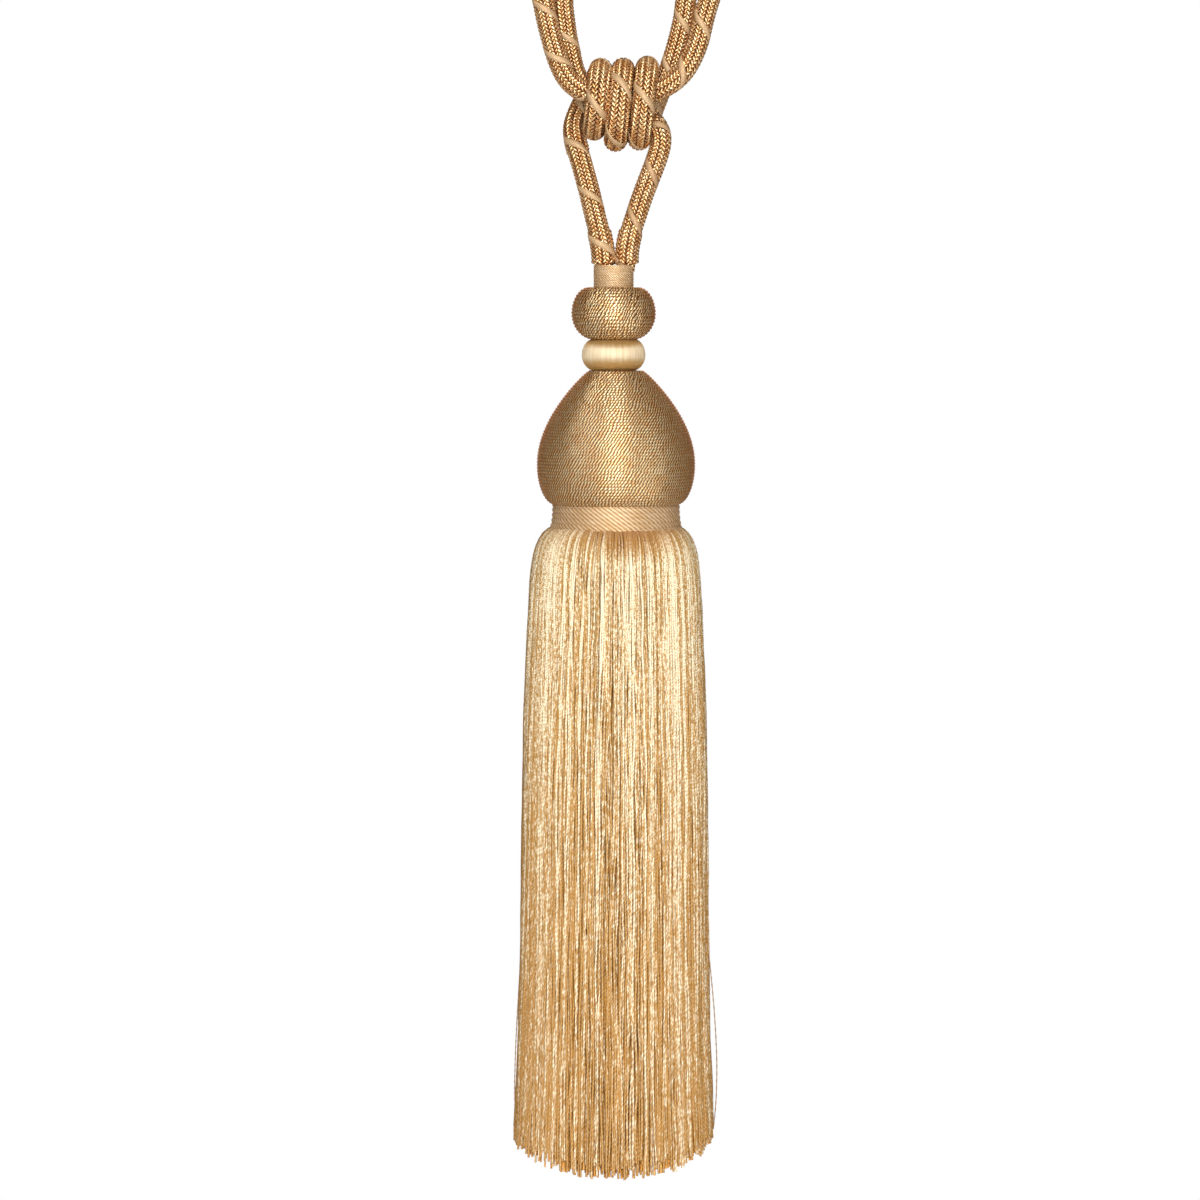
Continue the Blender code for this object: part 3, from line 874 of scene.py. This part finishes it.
# %% [markdown]
# ## The floss bead
#
# The slim bead is covered with cream floss that runs from hole to hole over its rim, where its threads are
# about a third of a millimetre apart. A grid bent round the bead has three columns for each thread.

# %% Cover the slim bead
FLOSS_THREADS = 200
FLOSS_ROWS = 24
FLOSS_RIDGE = 0.1 * MM
FLOSS_SEED = 4
# Height of the painted highlight round the floss bead's rim, its half width, and the distance over which
# painted shade deepens
FLOSS_RIM = -0.1680
FLOSS_BAND = 0.0014
FLOSS_FADE = 0.0022
THREAD_COLUMNS = 3


def build_floss_tree():
    """A turned form covered with threads that run up and over it."""
    tree, given, result = turned_group("floss", {})
    grid, share_round, level = unit_grid(tree, FLOSS_THREADS * THREAD_COLUMNS + 1, FLOSS_ROWS)
    thread = share_round * float(FLOSS_THREADS)
    crest = half_round(calc("FRACT", thread))
    geometry = store(tree, grid, "crest", crest)
    geometry = store(tree, geometry, "strand", chance(tree, calc("FLOOR", thread), FLOSS_SEED), "FACE")
    sink = (crest - 1.0) * given("Ridge")
    bend_round(tree, geometry, share_round, level, level + 0.5, sink, given, result)
    return tree


def crest_openness(tree):
    """Painted shade in the grooves that the surface carries."""
    return carried(tree, "crest") * 0.45 + 0.55


def rim_highlight_and_shade(tree):
    """Painted light and shade: a cream highlight round the rim, deeper towards both holes for painted shadow
    and gold reflection.
    """
    away = calc("ABSOLUTE", parts_of(coordinate(tree))[2] - FLOSS_RIM)
    return own_strand(tree) * 0.4 + limited((away - FLOSS_BAND) / FLOSS_FADE, 0.0, 0.9)


cream_floss = thread_material("floss_thread", (0.84, 0.74, 0.53), (0.52, 0.33, 0.12), (0.40, 0.25, 0.11),
                              rim_highlight_and_shade, crest_openness, roughness=0.5, metallic=0.5, gloss=1.7,
                              satin=0.9)
*ring_sizes, ring_middle = covered_sizes("lower_bead")
ring_outline = bead_outline(RING_SHOULDERS, *ring_sizes)
cover(build_floss_tree(), "floss_bead", "lower_bead", "cream_floss", ring_outline, ring_middle,
      {"Material": cream_floss, "Ridge": FLOSS_RIDGE, "Depth": 1.0})

# %% [markdown]
# ## The neck binding and the collar
#
# Both are wound with a beige cord of two plies, whose twist slants the other way and is a real shape. The
# collar widens a little towards its foot. The neck is oval, because it binds two cords side by side.

# %% Wind the cords
COLLAR_TURNS = 5
COLLAR_SPREAD = 0.9
COLLAR_SIZES = (0.36, 1.75)
COLLAR_LEVELS = 8
NECK_TURNS = 8
NECK_SIZES = (0.16, 1.05)
RELIEF_SHARE = 0.7
MARK_COLUMNS = 6


def wind_cord(name, node, outline, turns, sizes, **shape):
    """A piece wound with two-ply cord, whose twist is a real shape."""
    ridge, mark = sizes
    columns = MARK_COLUMNS * round(FULL_TURN * outline[0][0] / mark)
    wind(name, node, ("beige_cord", "_cord", CORD), outline, turns, columns, sizes,
         relief=RELIEF_SHARE * ridge, **shape)


collar_radius, collar_top, collar_bottom, _ = covered_sizes("collar")
collar_outline = [(collar_radius - COLLAR_SPREAD * (1 - share ** 3),
                   collar_top + (collar_bottom - collar_top) * share)
                  for share in (index / COLLAR_LEVELS for index in range(COLLAR_LEVELS + 1))]
wind_cord("collar_winding", "collar", collar_outline, COLLAR_TURNS, COLLAR_SIZES)

neck_radius, neck_top, neck_bottom, neck_middle = covered_sizes("neck_binding")
low_corner, high_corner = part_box("neck_binding")
neck_depth = (high_corner[1] - low_corner[1]) / (high_corner[0] - low_corner[0])
wind_cord("neck_winding", "neck_binding", [(neck_radius, neck_top), (neck_radius, neck_bottom)], NECK_TURNS,
          NECK_SIZES, depth=neck_depth, middle=neck_middle)

# %% [markdown]
# ## The fringe
#
# More than a thousand cut threads come out almost level from under the collar, turn down over a round
# shoulder, and hang a little wavy. Each follows an outline, which says how far out a thread lies at each
# height. Slow noise that neighbours share gathers them into locks, and each has a small wander, a shade and
# a length of its own. The hem is lowest in front, and level from the sides round the back.

# %% The tree for the fringe
LOCK_SWAY = 0.002
LOCK_SCALE = 4.2
LOCK_LENGTHENING = 0.5
OWN_SWAY = 0.0018
OWN_SPREAD = 90.0
OWN_WAVES = 9.0
UNEVENNESS = 0.030
SIDE_RISE = 0.038
DRIFT = 0.0008
MIDDLE_OF_NOISE = (0.5, 0.5, 0.5)


def build_fringe_tree():
    """A layer of hanging threads."""
    tree, given, result = new_group("fringe", {
        "Outline": "Object", "Material": "Material", "Threads": "Int", "Share": "Float", "Steps": "Int",
        "Sides": "Int", "Width": "Float", "Seed": "Int"})
    line = made(tree, "GeometryNodeCurvePrimitiveLine", {"End": (0.0, 0.0, 1.0)})
    geometry, number, down = copied_line(tree, line, given("Steps"), given("Threads"))

    def luck(offset, low=0.0, high=1.0):
        """A random number for each thread."""
        return chance(tree, number, given("Seed") + float(offset), low, high)

    first_angle = (number + luck(1, -0.3, 0.3)) * (FULL_TURN / given("Threads"))
    back_share = calc("SINE", first_angle) * 0.5 + 0.5
    whole = 1.0 - limited(back_share * 2.0) * SIDE_RISE - luck(2) * UNEVENNESS
    spot, _ = guide_place(tree, given("Outline"), calc("POWER", down, 1.6) * whole)

    lock_place = vector_of(calc("COSINE", first_angle), calc("SINE", first_angle),
                           down * LOCK_LENGTHENING + given("Share"))
    own_place = vector_of(luck(3) * OWN_SPREAD, luck(4) * OWN_SPREAD, down * OWN_WAVES)
    by_lock = parts_of(vector_calc("SUBTRACT", noise(lock_place, 2.0, LOCK_SCALE, "Color"), MIDDLE_OF_NOISE))
    by_self = parts_of(vector_calc("SUBTRACT", noise(own_place, 1.0, 1.0, "Color"), MIDDLE_OF_NOISE))
    freedom = calc("POWER", down, 0.45)

    def push(axis, lock_weight, own_weight):
        """How far a thread strays, by its lock and by itself."""
        return (by_lock[axis] * LOCK_SWAY * lock_weight + by_self[axis] * OWN_SWAY * own_weight) * freedom

    radius = spot[0] * given("Share") + push(0, 0.6, 1.0)
    angle = first_angle + push(1, 2.0, 2.0) / spot[0]
    place = vector_of(calc("COSINE", angle) * radius - down * DRIFT, calc("SINE", angle) * radius, spot[2])
    geometry = store(tree, geometry, "strand", luck(5), "CURVE")
    geometry = store(tree, geometry, "down", down)
    moved = made(tree, "GeometryNodeSetPosition", {"Geometry": geometry, "Position": place})
    finish_strands(tree, moved, given("Width"), luck(6) * 0.3 + 0.85, given, result)
    return tree


# %% [markdown]
# ## Silk
#
# The fringe is silky twisted thread in cream, gold and amber, mixed. The slanting marks of its twist are
# drawn from its length and from the way its surface faces.

# %% Material for the fringe
TWIST_MARKS = 210.0
DASHES = 13.0
DASH_WEIGHT = 1.3
GLINTS = 130.0
GLINT_WEIGHT = 3.0
OWN_WEIGHT = 1.5
# Painted shade at the roots, under the collar: its weight, lower edge, fade, middle and half width
ROOT_WEIGHT = 1.5
ROOT_HEIGHT = -0.2365
ROOT_FADE = 0.0095
ROOT_SHADE_MIDDLE = 0.005
ROOT_SHADE_HALF_WIDTH = 0.024


def share_round_thread(tree):
    """Where a point lies round its own thread, from -1 to 1."""
    x, y, _ = parts_of(coordinate(tree, "Normal"))
    return calc("ARCTAN2", y, x) / math.pi


def outward_share(tree):
    """How far a thread faces out of the fringe: 1 on its outer side, 0 where it meets the next."""
    outward = vector_calc("NORMALIZE", vector_calc("MULTIPLY", coordinate(tree), (1.0, 1.0, 0.0)))
    return limited(vector_calc("DOT_PRODUCT", coordinate(tree, "Normal"), outward, output="Value"))


def twist_marks(tree):
    """Slanting marks along a thread that hangs down."""
    marks = carried(tree, "down") * TWIST_MARKS + own_strand(tree) * 57.0
    phase = marks * (own_strand(tree) * 0.3 + 0.85) + share_round_thread(tree) * 0.4
    return calc("SINE", phase * FULL_TURN) * 0.5 + 0.5


def root_shade(tree):
    """Painted shade at the roots: deepest under the middle of the collar, and none further down."""
    across, _, height = parts_of(coordinate(tree))
    away = calc("ABSOLUTE", across - ROOT_SHADE_MIDDLE)
    return limited((height - ROOT_HEIGHT) / ROOT_FADE) * limited(1.0 - away / ROOT_SHADE_HALF_WIDTH, 0.2)


def dashed_strand(tree):
    """The shade of a strand: long dashes, fine glints, deeper at both ends, with painted shade at the roots.
    """
    own = own_strand(tree)
    down = carried(tree, "down")
    dash = noise(vector_of(own * 300.0, down * DASHES, 0.0), 4.0) - 0.5
    fibre = own * 900.0 + share_round_thread(tree) * 2.4
    glint = noise(vector_of(fibre, down * GLINTS, 0.0), 0.0) - 0.5
    shade = own * OWN_WEIGHT + dash * DASH_WEIGHT + (down - 0.6 + glint * GLINT_WEIGHT)
    return root_shade(tree) * ROOT_WEIGHT + shade


def twist_openness(tree):
    """Painted shade between the twist marks, where threads meet and at the roots, and a little darker
    towards the cut ends.
    """
    ends = carried(tree, "down") * -0.24 + (twist_marks(tree) * 0.4 + 0.72)
    return (root_shade(tree) * -0.6 + ends) * (outward_share(tree) * 0.5 + 0.55)


def silk(name, light, dark, gloss):
    """Silk in two shades that mix."""
    return thread_material(name, light, dark, (0.40, 0.17, 0.04), dashed_strand, twist_openness,
                           roughness=0.4, metallic=0.0, gloss=gloss, relief=twist_marks,
                           relief_height=0.00016, patchiness=0.15)


outer_silk = silk("silk_thread", (1.0, 0.93, 0.67), (0.50, 0.29, 0.075), 1.55)
# The inner layers are a brighter, warmer copy of the silk: painted bounce light, which keeps the gaps golden
# rather than grey.
bounce_lit_silk = silk("bounce_lit_silk_thread", (1.0, 0.66, 0.22), (0.78, 0.38, 0.08), 1.15)
stray_silk = silk("stray_silk_thread", (0.46, 0.36, 0.24), (0.30, 0.21, 0.13), 1.55)

# %% [markdown]
# The outer layers are dense and finely stepped. The ones inside only fill the fringe, so they are coarser.

# %% Hang the fringe
# The outline. Columns: outer radius, height
FRINGE_OUTLINE = (
    (18.5, -224.9), (21.6, -225.9), (23.8, -227.3), (25.6, -230.0), (27.0, -233.8), (27.9, -239.5),
    (28.7, -250.8), (30.5, -297.5), (31.4, -364.0), (32.4, -401.0), (34.0, -438.2),
)
# Layers. Columns: share of the outline's radius, threads, steps, sides
OUTER_LAYERS = ((0.985, 265, 44, 4), (0.967, 265, 44, 4))
INNER_LAYERS = (
    (0.945, 250, 30, 4), (0.92, 230, 24, 4), (0.88, 200, 20, 3), (0.8, 160, 14, 3), (0.6, 130, 12, 3),
    (0.5, 110, 10, 3), (0.4, 80, 10, 3), (0.3, 60, 10, 3), (0.2, 40, 10, 3), (0.1, 20, 10, 3),
)
FRINGE_THREAD = 0.88 * MM

fringe_tree = build_fringe_tree()
fringe_line = smooth_line([(radius, 0.0, height) for radius, height in FRINGE_OUTLINE])
fringe_guide = guide_curve("fringe_outline", [point * MM for point in fringe_line])


def hang(name, layers, material, seed):
    """One piece of the fringe, from its layers."""
    meshes = []
    for layer, (share, threads, steps, sides) in enumerate(layers):
        meshes.append(run_tree(fringe_tree, {
            "Outline": fringe_guide, "Material": material, "Threads": threads, "Share": share,
            "Steps": steps, "Sides": sides, "Width": FRINGE_THREAD, "Seed": seed + 10 * layer}))
    settle(add_piece(name, meshes), "skirt", "fringe_silk")


hang("outer_fringe", OUTER_LAYERS, outer_silk, 20)
hang("inner_fringe", INNER_LAYERS, bounce_lit_silk, 60)
bpy.data.objects.remove(fringe_guide)

# Two loose threads that bow out of the fringe at its sides
STRAYS = (
    ((31.0, -3.0, -368.0), (32.2, -4.0, -380.0), (33.2, -4.5, -393.0), (33.7, -4.5, -406.0),
     (33.4, -4.0, -418.0), (32.6, -3.5, -427.0)),
    ((-32.4, -3.0, -380.0), (-33.1, -4.0, -392.0), (-33.6, -4.5, -404.0), (-33.8, -4.0, -415.0),
     (-33.4, -3.5, -427.0)),
)
STRAY_REACH = 0.11 * MM
STRAY_SECTION = (0.28 * MM, 0.24 * MM)
for side, stray in zip(("right", "left"), STRAYS):
    stray_guide = guide_curve("stray_path", [point * MM for point in smooth_line(stray)])
    strand = lay_strands(stray_guide, stray_silk, count=2, twists=12.0, reach=STRAY_REACH,
                         section=STRAY_SECTION, points=120, sides=4, seed=7)
    bpy.data.objects.remove(stray_guide)
    settle(add_piece(side + "_stray", [strand]), "skirt", "fringe_silk")

# %% [markdown]
# ## Studio
#
# A plain pale floor and backdrop, a wide soft light in front, and a weak even light from all round. The
# backdrop shines for the camera alone, so it stays white without lighting the thread from behind.

# %% Stage and lights
FLOOR_HEIGHT = -0.75
STAGE_WIDTH = 8.0
BACKDROP_DISTANCE = 2.2
BEND_RADIUS = 0.6
STAGE_TOP = 3.0
WHITE = (1.0, 1.0, 1.0, 1.0)


def white_for_camera(tree, real, white, output_name):
    """Let the camera see white, where light meets the real surface or sky."""
    seen = made(tree, "ShaderNodeLightPath", output="Is Camera Ray")
    mix = made(tree, "ShaderNodeMixShader", {0: seen, 1: real, 2: white})
    link(mix, tree.nodes[output_name].inputs["Surface"])


def build_stage():
    """A floor that curves up into a backdrop."""
    outline = [(-4.0, FLOOR_HEIGHT)]
    for index in range(13):
        turn = math.pi / 2 * index / 12
        outline.append((BACKDROP_DISTANCE - BEND_RADIUS + BEND_RADIUS * math.sin(turn),
                        FLOOR_HEIGHT + BEND_RADIUS - BEND_RADIUS * math.cos(turn)))
    outline.append((BACKDROP_DISTANCE, STAGE_TOP))
    count = len(outline)
    mesh = bpy.data.meshes.new("stage")
    mesh.from_pydata([(x, y, z) for x in (-STAGE_WIDTH / 2, STAGE_WIDTH / 2) for y, z in outline], [],
                     [(index, count + index, count + index + 1, index + 1) for index in range(count - 1)])
    mesh.shade_smooth()
    stage = bpy.data.objects.new("stage", mesh)
    bpy.context.scene.collection.objects.link(stage)
    material = bpy.data.materials.new("stage_white")
    material.use_nodes = True
    tree = material.node_tree
    shader = tree.nodes["Principled BSDF"]
    shader.inputs["Base Color"].default_value = (0.8, 0.79, 0.78, 1.0)
    shader.inputs["Roughness"].default_value = 0.9
    glow = made(tree, "ShaderNodeEmission", {"Color": WHITE, "Strength": 1.0})
    white_for_camera(tree, Value(shader.outputs[0]), glow, "Material Output")
    mesh.materials.append(material)


def add_light(name, place, target, width, height, power):
    """A soft rectangular light that points at a target."""
    data = bpy.data.lights.new(name, "AREA")
    data.shape = "RECTANGLE"
    data.size = width
    data.size_y = height
    data.energy = power
    light = bpy.data.objects.new(name, data)
    light.location = place
    light.rotation_euler = (Vector(target) - Vector(place)).to_track_quat("-Z", "Y").to_euler()
    bpy.context.scene.collection.objects.link(light)


build_stage()
add_light("front", (0.0, -1.75, 0.3), (0.0, 0.0, -0.25), 0.92, 1.9, 47.0)
add_light("back", (0.0, 1.75, 0.3), (0.0, 0.0, -0.25), 1.2, 1.2, 11.0)
add_light("top", (0.0, -0.3, 1.3), (0.0, 0.0, -0.25), 1.4, 1.4, 6.0)

world = bpy.data.worlds.new("world")
bpy.context.scene.world = world
world.use_nodes = True
sky = world.node_tree
warm = made(sky, "ShaderNodeBackground", {"Color": (1.0, 0.62, 0.35, 1.0), "Strength": 0.17})
clear = made(sky, "ShaderNodeBackground", {"Color": WHITE, "Strength": 1.0})
white_for_camera(sky, warm, clear, "World Output")
bpy.context.scene.view_settings.view_transform = "Standard"
